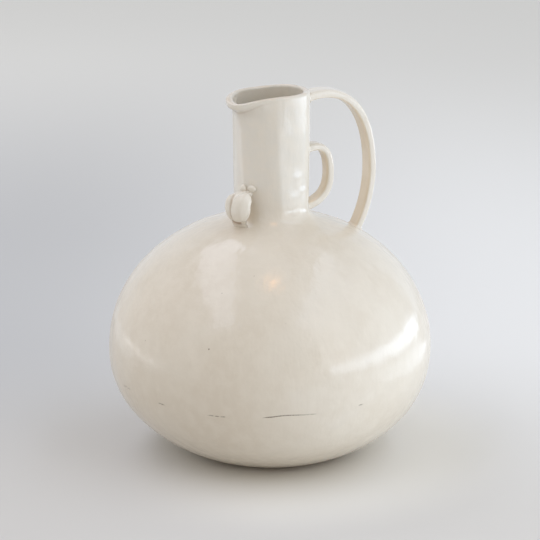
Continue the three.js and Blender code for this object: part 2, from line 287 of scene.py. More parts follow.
# Draws the lip out to the spout; outside is 1 on the outer face and 0 in the bore.
def pull(radius, azimuth, z, outside):
    share = np.clip((z - LIP_BOTTOM) / (RIM - LIP_BOTTOM), 0, 1)
    below = np.clip(RIM - z, 0, None)
    away = np.degrees(np.abs(turned(azimuth - SPOUT)))
    waist = np.exp(-(((away - 66) / 24) ** 2))
    wide = spout_share(azimuth, 40)
    fold = fold_depth(azimuth)
    throat = share ** 1.7
    inner = 0.4 * throat + 0.6 * np.clip(1 - (below / (fold + 0.8)) ** 1.15, 0, 1)
    outer = 0.5 * throat + 0.5 * (1 - smoothstep(below, 0.6 * fold, 1.15 * fold))
    reach = outside * 10.2 * outer + (1 - outside) * 8.2 * inner
    radius = radius + reach * spout_share(azimuth, 30) - 1.5 * share * waist
    stout = np.exp(-((camera_angle(azimuth) / 40) ** 2))
    radius = radius - (1 - outside) * 1.9 * stout * share ** 2
    crease = np.exp(-(((below - fold) / 1.3) ** 2))
    roll = np.exp(-(((below - fold * 0.5) / 2.4) ** 2))
    turn = np.degrees(turned(azimuth - math.radians(235)))
    knob = np.exp(-((turn / 6) ** 2) - ((below - 7.0) / 1.9) ** 2)
    radius = radius + outside * (wide * (0.5 * roll - 0.3 * crease) + 0.5 * knob)
    return radius, z + rim_level(azimuth) * share ** 3


AZIMUTH = np.arange(COLUMNS) * 2 * math.pi / COLUMNS
SHIFT = seam_shift(AZIMUTH)
OPENING, DARK = crack_profile(AZIMUTH)


def ring_points(radius, z):
    level = np.broadcast_to(z, radius.shape)
    return np.stack([radius * np.cos(AZIMUTH), radius * np.sin(AZIMUTH), level], -1)


# Unevenness of the beaten and scraped wall, always inwards from the true form.
def hand_marks(points, amount):
    slow = noise(points, 74.0, 3) * 0.5 + 0.5
    medium = noise(points * [1, 1, 0.7], 31.0, 11) * 0.5 + 0.5
    drift = np.stack([noise(points, 26.0, 41), noise(points, 26.0, 42), np.zeros(points.shape[:-1])], -1)
    ribs = noise((points + 5 * drift) * [1, 1, 0.3], 8.5, 23) * 0.5 + 0.5
    return amount * (0.3 * slow + 0.48 * medium + 0.38 * ribs)


def wall_normal(radius, z):
    if z < STEEP_LIMIT:
        slope = (wall_radius(z + 0.05) - wall_radius(z - 0.05)) / 0.1
        flat, rise = 1.0, -float(slope)
    else:
        flat = -float(shoulder_height(radius + 0.05) - shoulder_height(radius - 0.05)) / 0.1
        rise = 1.0
    size = math.hypot(flat, rise)
    return np.stack([np.cos(AZIMUTH) * flat, np.sin(AZIMUTH) * flat, np.full(COLUMNS, rise)], -1) / size


def wall_row(base_radius, base_z, inset):
    wave = SHIFT * math.exp(-(((base_z - SEAM) / 15) ** 2))
    z = np.clip(base_z + wave, 0, None)
    if inset:
        by_height = base_z < INNER_SPLIT
        return ring_points(wall_radius(z, inset) if by_height else np.full(COLUMNS, base_radius), z)
    radius = np.full(COLUMNS, base_radius)
    if base_z < STEEP_LIMIT:
        radius = radius + wall_radius(z) - wall_radius(base_z)
    points = ring_points(radius, z)
    depth = hand_marks(points, WALL_MARKS * float(smoothstep(base_z, 3, 25)))
    near = math.exp(-(((base_z - SEAM) / 0.16) ** 2))
    lips = math.exp(-(((base_z - SEAM) / 0.7) ** 2))
    depth = depth + OPENING * (1.1 * near + 0.12 * lips)
    return points - wall_normal(base_radius, base_z) * depth[:, None]


# A row of the neck: outside is 1 on the outer face, 0 in the bore, and between them on the rim.
def neck_row(base_radius, base_z, outside):
    radius = np.full(COLUMNS, float(base_radius))
    z = np.full(COLUMNS, float(base_z))
    radius, z = pull(radius, AZIMUTH, z, outside)
    points = ring_points(radius, z)
    radius = radius - hand_marks(points, BORE_MARKS + NECK_MARKS * outside)
    radius = radius - outside * (neck_flats(AZIMUTH, base_z) - neck_bumps(AZIMUTH, base_z))
    return ring_points(radius, z)


# Outer line of the vessel from the edge of the foot to the rim, then the inner line back down.
def even(step):
    return lambda middles: np.full(len(middles), step)


def seam_spacing(middles):
    return 2.3 - 2.05 * np.exp(-(((middles[:, 1] - SEAM) / 2.4) ** 2))


outer_foot = resample(dense_wall(0.0, FLOOR_THICKNESS), even(1.6))
outer_bowl = resample(dense_wall(FLOOR_THICKNESS, SEAM), seam_spacing)
dome_low = dense_wall(SEAM, OUTER_SPLIT)
dome_high = dense_shoulder(float(wall_radius(OUTER_SPLIT)), COLLAR_RADIUS)
outer_dome = resample(np.concatenate([dome_low, dome_high[1:]]), seam_spacing)
collar_start = [COLLAR_RADIUS, float(shoulder_height(COLLAR_RADIUS))]
collar_slope = float(shoulder_height(COLLAR_RADIUS) - shoulder_height(COLLAR_RADIUS - 1))
collar_line = bezier([
    collar_start,
    [COLLAR_RADIUS - 10.5, collar_start[1] - 10.5 * collar_slope],
    [float(neck_radius(COLLAR_TOP)), COLLAR_TOP - 10.0],
    [float(neck_radius(COLLAR_TOP)), COLLAR_TOP],
])
neck_line = np.array([[neck_radius(z), z] for z in np.linspace(COLLAR_TOP, NECK_TOP, 200)])
outer_neck = resample(np.concatenate([collar_line, neck_line[1:]]), even(0.9))
bead_middle = RIM - RIM_WALL / 2
bead = [
    [NECK_RADIUS - RIM_WALL / 2 + RIM_WALL / 2 * math.cos(a), bead_middle + RIM_WALL / 2 * math.sin(a)]
    for a in np.linspace(0, math.pi, 60)
]
lip_line = np.array([[NECK_RADIUS, z] for z in np.linspace(LIP_BOTTOM, bead_middle, 200)])
outer_lip = resample(lip_line, even(0.8))
rim_bead = resample(np.array(bead), even(0.42))
inner_lip = resample(np.array([
    [NECK_RADIUS - RIM_WALL, bead_middle],
    [NECK_RADIUS - RIM_WALL, LIP_BOTTOM + 12],
    [BORE_TOP, LIP_BOTTOM],
]), even(0.9))
inner_start = [BORE_FOOT, float(shoulder_height(BORE_FOOT, BODY_WALL))]
inner_neck = resample(np.concatenate([
    np.array([[BORE_TOP, LIP_BOTTOM], [BORE_BASE + 0.1, LANDING + 6]]),
    bezier([[BORE_BASE + 0.1, LANDING + 6], [BORE_BASE, LANDING - 1], [BORE_BASE + 1, inner_start[1] + 1],
            inner_start])[1:],
]), even(2.0))
inner_high = dense_shoulder(BORE_FOOT, float(wall_radius(INNER_SPLIT, BODY_WALL)), BODY_WALL)
inner_low = dense_wall(INNER_SPLIT, SEAM_INSIDE, BODY_WALL)
inner_dome = resample(np.concatenate([inner_high, inner_low[1:]]), even(5.0))
inner_bowl = resample(dense_wall(SEAM_INSIDE, FLOOR_THICKNESS, BODY_WALL), even(5.0))

rows = []
spans = {}


def append_rows(name, line, build, skip_first):
    start = len(rows) - (1 if skip_first else 0)
    for radius, z in line[1 if skip_first else 0:]:
        rows.append(build(radius, z))
    spans[name] = list(range(start, len(rows)))


append_rows("outer_foot", outer_foot, lambda r, z: wall_row(r, z, 0.0), False)
append_rows("outer_bowl", outer_bowl, lambda r, z: wall_row(r, z, 0.0), True)
append_rows("outer_dome", outer_dome, lambda r, z: wall_row(r, z, 0.0), True)


def collar_row(radius, z):
    neck = neck_row(radius, z, 1.0)
    shoulder = ring_points(np.full(COLUMNS, float(radius)), np.full(COLUMNS, float(z)))
    depth = hand_marks(shoulder, WALL_MARKS)[:, None]
    shoulder = shoulder - wall_normal(COLLAR_RADIUS, collar_start[1]) * depth
    mix = float(smoothstep(radius, 33.0, COLLAR_RADIUS))
    return neck * (1 - mix) + shoulder * mix


append_rows("outer_neck", outer_neck, collar_row, True)
append_rows("outer_lip", outer_lip, lambda r, z: neck_row(r, z, 1.0), True)
append_rows("rim_bead", rim_bead, lambda r, z: neck_row(r, z, (r - NECK_RADIUS) / RIM_WALL + 1), True)
append_rows("inner_lip", inner_lip, lambda r, z: neck_row(r, z, 0.0), True)
append_rows("inner_neck", inner_neck, lambda r, z: neck_row(r, z, 0.0), True)
append_rows("inner_dome", inner_dome, lambda r, z: wall_row(r, z, BODY_WALL), True)
append_rows("inner_bowl", inner_bowl, lambda r, z: wall_row(r, z, BODY_WALL), True)
GRID = sway(np.array(rows))
along = np.gradient(GRID, axis=0)
around = np.roll(GRID, -1, axis=1) - np.roll(GRID, 1, axis=1)
GRID_NORMALS = np.cross(around, along)
GRID_NORMALS /= np.linalg.norm(GRID_NORMALS, axis=-1, keepdims=True)


# Meshes and pieces
def link(name, vertices, faces, values=None):
    mesh = bpy.data.meshes.new(name)
    mesh.from_pydata((vertices * MM).tolist(), [], faces)
    mesh.polygons.foreach_set("use_smooth", [True] * len(mesh.polygons))
    for key, numbers in (values or {}).items():
        layer = mesh.attributes.new(key, "FLOAT", "POINT")
        layer.data.foreach_set("value", np.asarray(numbers, np.float32))
    mesh.update()
    piece = bpy.data.objects.new(name, mesh)
    scene.collection.objects.link(piece)
    return piece


def band_faces(ring_count, closed):
    column = np.arange(COLUMNS)
    beside = (column + 1) % COLUMNS
    faces = []
    for i in range(ring_count if closed else ring_count - 1):
        a = i * COLUMNS
        b = ((i + 1) % ring_count) * COLUMNS
        faces.append(np.stack([a + column, a + beside, b + beside, b + column], 1))
    return np.concatenate(faces)


# A closed piece of the vessel: an outer run of rows, an inner run back, flat joints between the runs.
def vessel_piece(name, runs, values):
    indices = [i for run in runs for i in run]
    ends = set(np.cumsum([len(run) for run in runs]) - 1)
    vertices = GRID[indices].reshape(-1, 3)
    faces = band_faces(len(indices), True)
    normals = GRID_NORMALS[indices].reshape(-1, 3)[faces.ravel()]
    flat = np.zeros(len(faces), bool)
    for end in ends:
        flat[end * COLUMNS:(end + 1) * COLUMNS] = True
    corner = vertices[faces[flat]]
    cross = np.cross(corner[:, 2] - corner[:, 0], corner[:, 3] - corner[:, 1])
    length = np.linalg.norm(cross, axis=1, keepdims=True)
    cross = cross / np.where(length > 0, length, 1)
    normals.reshape(-1, 4, 3)[flat] = cross[:, None]
    picked = {key: numbers[indices].ravel() for key, numbers in values.items()}
    piece = link(name, vertices, faces.tolist(), picked)
    piece.data.normals_split_custom_set(normals.tolist())
    return piece


row_count = len(rows)
dark_rows = np.zeros((row_count, COLUMNS))
for i in spans["outer_bowl"] + spans["outer_dome"]:
    source = np.concatenate([outer_foot, outer_bowl[1:], outer_dome[1:]])[i]
    dark_rows[i] = DARK * math.exp(-(((source[1] - SEAM) / 0.34) ** 2))
thin_rows = np.zeros((row_count, COLUMNS))
for k, i in enumerate(spans["rim_bead"]):
    thin_rows[i] = 0.5 * math.sin(math.pi * k / (len(spans["rim_bead"]) - 1)) ** 2
inside_rows = np.zeros((row_count, COLUMNS))
for name in ("inner_neck", "inner_dome", "inner_bowl"):
    inside_rows[spans[name]] = 1.0
inside_rows[spans["inner_lip"]] = np.linspace(0.0, 1.0, len(spans["inner_lip"]))[:, None]
# A darker brown line just under the fold of the spout's lip, and a faint blush below it.
lip_line_rows = np.zeros((row_count, COLUMNS))
for k, i in enumerate(spans["outer_lip"]):
    below = RIM - outer_lip[k][1]
    line = np.exp(-(((below - 1.06 * fold_depth(AZIMUTH) - 0.3) / 0.9) ** 2))
    blush = math.exp(-(((below - 13) / 4) ** 2))
    lip_line_rows[i] = spout_share(AZIMUTH, 40) * (0.26 * line + 0.1 * blush)
vessel_values = {"crack": dark_rows, "thin": thin_rows, "inside": inside_rows, "stain_and_shade": lip_line_rows}

lower_bowl = vessel_piece("lower_bowl_glazed", [spans["outer_bowl"], spans["inner_bowl"]], vessel_values)
upper_dome = vessel_piece("upper_dome_glazed", [spans["outer_dome"], spans["inner_dome"]], vessel_values)
neck = vessel_piece("neck_glazed", [spans["outer_neck"], spans["inner_neck"]], vessel_values)
lip = vessel_piece(
    "pouring_lip_glazed",
    [spans["outer_lip"] + spans["rim_bead"][1:] + spans["inner_lip"][1:]],
    vessel_values,
)


# A round piece with a middle: the floor slab.
def disc_piece(name, line):
    rings = [sway(ring_points(np.full(COLUMNS, r), np.full(COLUMNS, z))) for r, z in line[1:-1]]
    middles = [sway(np.array([0.0, 0.0, line[k][1]])) for k in (0, -1)]
    vertices = np.concatenate([*rings, np.array(middles)])
    faces = band_faces(len(rings), False).tolist()
    last = (len(rings) - 1) * COLUMNS
    low, high = len(vertices) - 2, len(vertices) - 1
    for j in range(COLUMNS):
        k = (j + 1) % COLUMNS
        faces.append([low, k, j])
        faces.append([high, last + j, last + k])
    return link(name, vertices, faces)


slab_line = [[r, 0.0] for r in (0, 9, 18, 27, 36, 44, 50)] + outer_foot.tolist()
slab_line += [[r, FLOOR_THICKNESS] for r in (72.5, 66, 60, 48, 36, 24, 12, 0)]
floor_slab = disc_piece("floor_slab_clay", slab_line)

# The coil inside the seam.
coil_heights = np.linspace(SEAM_INSIDE - 8.5, SEAM_INSIDE + 8.5, 25)
coil_back = np.stack([wall_radius(coil_heights, BODY_WALL) - SLIP, coil_heights], 1)
coil_bulge = 0.5 + 3.5 * np.sin(np.linspace(0, math.pi, 25))
coil_front = np.stack([wall_radius(coil_heights, BODY_WALL) - SLIP - coil_bulge, coil_heights], 1)[::-1]
coil_line = np.concatenate([coil_back, coil_front])
coil_points = np.concatenate([ring_points(np.full(COLUMNS, r), np.full(COLUMNS, z)) for r, z in coil_line])
seam_coil = link("seam_coil_glazed", sway(coil_points), band_faces(len(coil_line), True).tolist())


# Straps: a flattened section carried along a path in an upright plane, flaring at its roots.
def superellipse(turn, power):
    x = np.sign(np.cos(turn)) * np.abs(np.cos(turn)) ** (2 / power)
    y = np.sign(np.sin(turn)) * np.abs(np.sin(turn)) ** (2 / power)
    return x, y


# Points round the section, closer together where it bends.
def section(power, half_width, half_thick, columns):
    turn = np.linspace(0, 2 * math.pi, 6001)
    x, y = superellipse(turn, power)
    x = x * half_width
    y = y * half_thick
    arc = np.concatenate([[0], np.cumsum(np.hypot(np.diff(x), np.diff(y)))])
    heading = np.unwrap(np.arctan2(np.gradient(y), np.gradient(x)))
    bending = np.concatenate([[0], np.cumsum(np.abs(np.diff(heading)))])
    weight = arc / arc[-1] + 0.6 * bending / bending[-1]
    picks = np.interp(np.linspace(0, weight[-1], columns, endpoint=False), weight, turn)
    return superellipse(picks, power)


def along_path(line, distance, marks):
    return np.stack([np.interp(marks, distance, line[:, k]) for k in range(2)], 1)


# The edges left and right, and the thickness, are functions of the share of the path.
# Each end has a depth in the wall, a fillet, and the radius of the wall that it meets.
def strap(name, path, azimuth, left, right, thickness, root, tip, power, columns, rows, seed, shape=None):
    line = bezier(path)
    distance = np.concatenate([[0], np.cumsum(np.linalg.norm(np.diff(line, axis=0), axis=1))])
    total = distance[-1]
    bend = 1 - np.cos(np.linspace(0, math.pi / 2, 12))
    first = root["depth"] + root["fillet"] * bend
    last = total - tip["depth"] - tip["fillet"] * bend[::-1]
    middle = np.linspace(first[-1], last[0], rows)[1:-1]
    lead_in = np.linspace(0, root["depth"], 5)[:-1]
    lead_out = np.linspace(total - tip["depth"], total, 5)[1:]
    marks = np.concatenate([lead_in, first, middle, last, lead_out])
    place = along_path(line, distance, marks)
    tangent = along_path(line, distance, marks + 0.2) - along_path(line, distance, marks - 0.2)
    tangent /= np.linalg.norm(tangent, axis=1, keepdims=True)
    share = marks / total
    low, high = left(share), right(share)
    half_width = (high - low) / 2
    half_thick = thickness(share) / 2
    unit_x, unit_y = section(power, half_width.mean(), half_thick.mean(), columns)
    side = ((high + low) / 2)[:, None] + half_width[:, None] * unit_x[None]
    lift = half_thick[:, None] * unit_y[None]
    # Colour darkening for the stain attribute; on the front lug it is painted shade from its shape.
    stain_and_shade = np.zeros_like(side)
    # Inner faces of the strap, which take the inner tone: painted light that lifts their shaded side.
    inner = np.tile(smoothstep(-unit_y, 0.45, 0.9), len(marks))
    if shape:
        lift, stain_and_shade = shape(share[:, None] * total, side, lift, np.clip(unit_y, 0, 1)[None])
    reach = np.hypot(unit_x, unit_y)[None]
    for end, gone in ((root, marks), (tip, total - marks)):
        recess = end["round"] - np.sqrt(np.clip(end["round"] ** 2 - side ** 2, 1, None))
        clear = np.clip(gone[:, None] - end["depth"] + recess, 0, end["fillet"])
        flare = end["fillet"] - np.sqrt(end["fillet"] ** 2 - (end["fillet"] - clear) ** 2)
        side = side + flare * unit_x[None] / reach
        lift = lift + flare * unit_y[None] / reach
    outward = np.array([math.cos(azimuth), math.sin(azimuth), 0.0])
    sideways = np.array([-outward[1], outward[0], 0.0])
    up = np.array([0.0, 0.0, 1.0])
    r = place[:, :1] - tangent[:, 1:] * lift
    z = place[:, 1:] + tangent[:, :1] * lift
    points = r[..., None] * outward + z[..., None] * up + side[..., None] * sideways
    away = points - (place[:, None, :1] * outward + place[:, None, 1:] * up)
    away /= np.linalg.norm(away, axis=-1, keepdims=True)
    dents = 0.3 * (noise(points, 17.0, seed) * 0.5 + 0.5) + 0.06 * noise(points, 5.0, seed + 1)
    points = sway(points - away * dents[..., None])
    count = len(marks)
    j = np.arange(columns)
    k = (j + 1) % columns
    faces = []
    for i in range(count - 1):
        a = i * columns
        b = a + columns
        faces += np.stack([a + j, b + j, b + k, a + k], 1).tolist()
    faces.append(j.tolist())
    faces.append((j[::-1] + (count - 1) * columns).tolist())
    thin = np.tile(np.clip((np.abs(unit_x) - 0.93) * 14, 0, 1) * 0.06, count)
    values = {"thin": thin, "stain_and_shade": stain_and_shade.ravel(), "inside": inner}
    piece = link(name, points.reshape(-1, 3), faces, values)
    for cap in (-1, -2):
        piece.data.polygons[len(piece.data.polygons) + cap].use_smooth = False
    return piece


HANDLE_ROOT = RIM - 7.4
HANDLE_FOOT_RADIUS = 77
HANDLE_FOOT = float(shoulder_height(HANDLE_FOOT_RADIUS))
HANDLE_SPAN = HANDLE_ROOT - HANDLE_FOOT
HANDLE_OUT = NECK_RADIUS + 56.9
handle = strap(
    "main_handle_glazed",
    [
        [NECK_RADIUS - 2, HANDLE_ROOT + 0.5],
        [NECK_RADIUS + 35.5, HANDLE_ROOT + 11],
        [HANDLE_OUT, HANDLE_ROOT - HANDLE_SPAN * 0.155],
        [HANDLE_OUT, HANDLE_FOOT + HANDLE_SPAN * 0.445],
        [HANDLE_OUT, HANDLE_FOOT + HANDLE_SPAN * 0.26],
        [HANDLE_FOOT_RADIUS + (HANDLE_OUT - HANDLE_FOOT_RADIUS) * 0.5, HANDLE_FOOT + HANDLE_SPAN * 0.09],
        [HANDLE_FOOT_RADIUS - 2.2, HANDLE_FOOT - 4],
    ],
    0.0,
    lambda s: -(9.4 - 1.9 * s + 0.2 * np.sin(9 * s + 1)),
    lambda s: 9.4 - 1.9 * s + 0.2 * np.sin(7 * s + 2),
    lambda s: 6.8 + 0.6 * (1 - smoothstep(s, 0.2, 0.58)),
    {"depth": 0.5, "fillet": 2.6, "round": 32.0},
    {"depth": 4.5, "fillet": 1.8, "round": 300.0},
    power=4.2,
    columns=80,
    rows=150,
    seed=5,
)

SIDE_TOP = LANDING + 52.4
SIDE_FOOT = LANDING + 9.0
SIDE_SPAN = SIDE_TOP - SIDE_FOOT
SIDE_OUT = NECK_RADIUS + 19.4
side_lug = strap(
    "side_lug_glazed",
    [
        [NECK_RADIUS - 2.2, SIDE_TOP + 0.6],
        [NECK_RADIUS + 16.3, SIDE_TOP + SIDE_SPAN * 0.17],
        [SIDE_OUT, SIDE_FOOT + SIDE_SPAN * 0.83],
        [SIDE_OUT, SIDE_FOOT + SIDE_SPAN * 0.52],
        [SIDE_OUT, SIDE_FOOT + SIDE_SPAN * 0.2],
        [NECK_RADIUS + 13.7, SIDE_FOOT],
        [NECK_RADIUS - 4, SIDE_FOOT - SIDE_SPAN * 0.1],
    ],
    0.0,
    lambda s: -6.75 - 0.2 * np.sin(7 * s),
    lambda s: 6.75 + 0.2 * np.sin(6 * s + 1),
    lambda s: 6.6 + 1.2 * s,
    {"depth": 0.8, "fillet": 2.2, "round": 31.8},
    {"depth": 2.4, "fillet": 2.4, "round": 31.4},
    power=3.2,
    columns=64,
    rows=110,
    seed=8,
)


# Edges of the front lug, from its upper root to its foot.
EDGE_MARKS = [0, 0.17, 0.24, 0.32, 0.4, 0.56, 0.64, 0.72, 0.78, 0.86, 1]
LEFT_EDGE = [-5.5, -6.5, -8.6, -11.6, -13.0, -13.6, -13.2, -12.2, -10.6, -9.0, -8.0]
RIGHT_EDGE = [1.0, 3.5, 8.4, 9.8, 9.9, 9.8, 9.2, 8.0, 6.4, 4.6, 3.6]


def edge_line(share, offsets):
    dense = np.linspace(0, 1, 201)
    values = np.interp(dense, EDGE_MARKS, offsets)
    padded = np.concatenate([np.full(6, values[0]), values, np.full(6, values[-1])])
    kernel = np.hanning(15)[1:-1]
    return np.interp(share, dense, np.convolve(padded, kernel / kernel.sum(), "valid"))


# The front lug swells to an oval pad, with a fold along its left side and a recess under it, both darkened
# with painted shade.
def front_shape(along, side, lift, outer):
    middle = 2.2 - 0.28 * (along - 21.0)
    pad = np.hypot((side - middle) / 8.2, (along - 21.2) / 12.6)
    swell = np.sqrt(np.clip(1 - pad ** 2, 0, 1))
    fold = np.exp(-(((side + 6.6) / 0.9) ** 2))
    fold = fold * smoothstep(along, 10, 14) * (1 - smoothstep(along, 29, 33))
    under = smoothstep(along, 31.8, 34.0)
    curl = smoothstep(side, 4.0, 10.5)
    face = np.sqrt(outer)
    lift = lift + (3.0 * swell - 1.0 * fold - 2.0 * under) * face - 2.4 * curl
    # Painted shade: colour darkened in the recess under the pad's left half and along the fold.
    shade = under * (1 - smoothstep(side, -1.0, 1.5)) * (1 - smoothstep(along, 35.5, 38.5))
    return lift, (0.45 * fold + 0.8 * shade) * face


FRONT = math.radians(210)
FRONT_TOP = LANDING + 24
FRONT_FOOT = LANDING + 3.5
FRONT_SPAN = FRONT_TOP - FRONT_FOOT
FRONT_OUT = NECK_RADIUS + 12.6
front_lug = strap(
    "front_lug_glazed",
    [
        [NECK_RADIUS - 3, FRONT_TOP],
        [NECK_RADIUS + 9.5, FRONT_TOP + FRONT_SPAN * 0.14],
        [FRONT_OUT, FRONT_FOOT + FRONT_SPAN * 0.9],
        [FRONT_OUT, FRONT_FOOT + FRONT_SPAN * 0.56],
        [FRONT_OUT, FRONT_FOOT + FRONT_SPAN * 0.24],
        [NECK_RADIUS + 10.0, FRONT_FOOT],
        [NECK_RADIUS + 6.5, FRONT_FOOT - 6.0],
    ],
    FRONT,
    lambda s: edge_line(s, LEFT_EDGE),
    lambda s: edge_line(s, RIGHT_EDGE),
    lambda s: np.full_like(s, 4.4),
    {"depth": 2.0, "fillet": 1.6, "round": 31.6},
    {"depth": 4.6, "fillet": 0.8, "round": 300.0},
    power=3.0,
    columns=120,
    rows=110,
    seed=13,
    shape=front_shape,
)


# Pellets: small lumps of clay thumbed onto the neck over the front lug.
def pellet(name, azimuth, z, across, tall, proud, seed):
    stacks = 18
    spokes = 28
    vertices = []
    for i in range(1, stacks):
        polar = math.pi * i / stacks
        for j in range(spokes):
            turn = 2 * math.pi * j / spokes
            ring = math.sin(polar)
            vertices.append([math.cos(polar), ring * math.cos(turn), ring * math.sin(turn)])
    vertices += [[1, 0, 0], [-1, 0, 0]]
    unit = np.array(vertices)
    unit = unit * (1 + 0.1 * noise(unit * 10, 7.0, seed))[:, None]
    local = unit * [proud, across, tall]
    outward = np.array([math.cos(azimuth), math.sin(azimuth), 0.0])
    sideways = np.array([-outward[1], outward[0], 0.0])
    base = float(neck_radius(z)) - 0.6
    points = (base + local[:, :1]) * outward + local[:, 1:2] * sideways
    points[:, 2] += z + local[:, 2]
    faces = []
    for i in range(stacks - 2):
        for j in range(spokes):
            k = (j + 1) % spokes
            faces.append([i * spokes + j, (i + 1) * spokes + j, (i + 1) * spokes + k, i * spokes + k])
    top, bottom = len(unit) - 2, len(unit) - 1
    last = (stacks - 2) * spokes
    for j in range(spokes):
        k = (j + 1) % spokes
        faces.append([top, j, k])
        faces.append([bottom, last + k, last + j])
    return link(name, sway(points), faces)


left_pellet = pellet("front_lug_left_pellet_glazed", math.radians(200.5), 227.6, 3.3, 3.3, 3.6, 4)
right_pellet = pellet("front_lug_right_pellet_glazed", math.radians(215), 228.2, 4.0, 2.7, 1.25, 9)

for piece, nodes, slot in (
    (floor_slab, ["floor_slab"], "bare_clay"),
    (lower_bowl, ["lower_bowl"], "glaze"),
    (upper_dome, ["upper_dome"], "glaze"),
    (seam_coil, ["seam_coil"], "inner_glaze"),
    (neck, ["neck_tube", "neck_collar"], "glaze"),
    (lip, ["pouring_lip"], "glaze"),
    (handle, ["main_handle", "handle_upper_wad", "handle_lower_wad"], "strap_glaze"),
    (side_lug, ["side_lug", "side_lug_upper_wad", "side_lug_lower_wad"], "strap_glaze"),
    (front_lug, ["front_lug"], "strap_glaze"),
    (left_pellet, ["front_lug_left_pellet"], "strap_glaze"),
    (right_pellet, ["front_lug_right_pellet"], "strap_glaze"),
):
    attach(piece, "root")
    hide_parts(*nodes)


# Materials
class Graph:
    def __init__(self, name):
        self.material = bpy.data.materials.new(name)
        self.material.use_nodes = True
        self.tree = self.material.node_tree
        self.tree.nodes.clear()

    def add(self, kind, inputs=None, **settings):
        node = self.tree.nodes.new("ShaderNode" + kind)
        for key, value in settings.items():
            setattr(node, key, value)
        for key, value in (inputs or {}).items():
            self.put(node.inputs[key], value)
        return node

    def put(self, socket, value):
        if isinstance(value, bpy.types.NodeSocket):
            self.tree.links.new(value, socket)
        else:
            socket.default_value = value

    def math(self, operation, a, b=0.0):
        return self.add("Math", {0: a, 1: b}, operation=operation).outputs[0]

    def fit(self, value, low, high, to_low=0.0, to_high=1.0):
        inputs = {"Value": value, "From Min": low, "From Max": high, "To Min": to_low, "To Max": to_high}
        return self.add("MapRange", inputs, interpolation_type="SMOOTHSTEP").outputs["Result"]

    def blend(self, share, a, b):
        node = self.add("Mix", data_type="RGBA")
        self.put(node.inputs[0], share)
        self.put(node.inputs[6], a)
        self.put(node.inputs[7], b)
        return node.outputs[2]

    def noise(self, where, scale, detail=2.0, roughness=0.5):
        inputs = {"Vector": where, "Scale": scale, "Detail": detail, "Roughness": roughness}
        return self.add("TexNoise", inputs).outputs["Fac"]


def rgb(red, green, blue):
    def linear(value):
        value = value / 255
        return value / 12.92 if value <= 0.04045 else ((value + 0.055) / 1.055) ** 2.4
    return (linear(red), linear(green), linear(blue), 1.0)


# Iron specks that burnt through the glaze: angle from the camera's right, height, radius.
SPECKS = [
    (-111.4, 161.4, 0.55), (-98.2, 173.5, 0.6), (-64.5, 118.3, 0.55), (-111.9, 122.2, 0.8),
    (-70.0, 196.0, 0.4), (-45.0, 150.0, 0.5), (-140.0, 118.0, 0.5), (-84.0, 143.0, 0.4),
]


THIN_GLAZE = rgb(200, 178, 155)
# Brown for the line under the spout's lip, also used as painted shade on the front lug.
STAIN_AND_SHADE = rgb(168, 140, 114)
IRON = rgb(112, 92, 74)
CRACK = rgb(84, 66, 50)
CLAY_LIGHT = rgb(196, 176, 150)
CLAY_DARK = rgb(172, 150, 124)
BUMP_STRENGTH = 0.7
BUMP_DEPTH = 0.0004
# The bare foot ends at about this height, in metres.
BARE_FULL = 0.0052
BARE_END = 0.0058
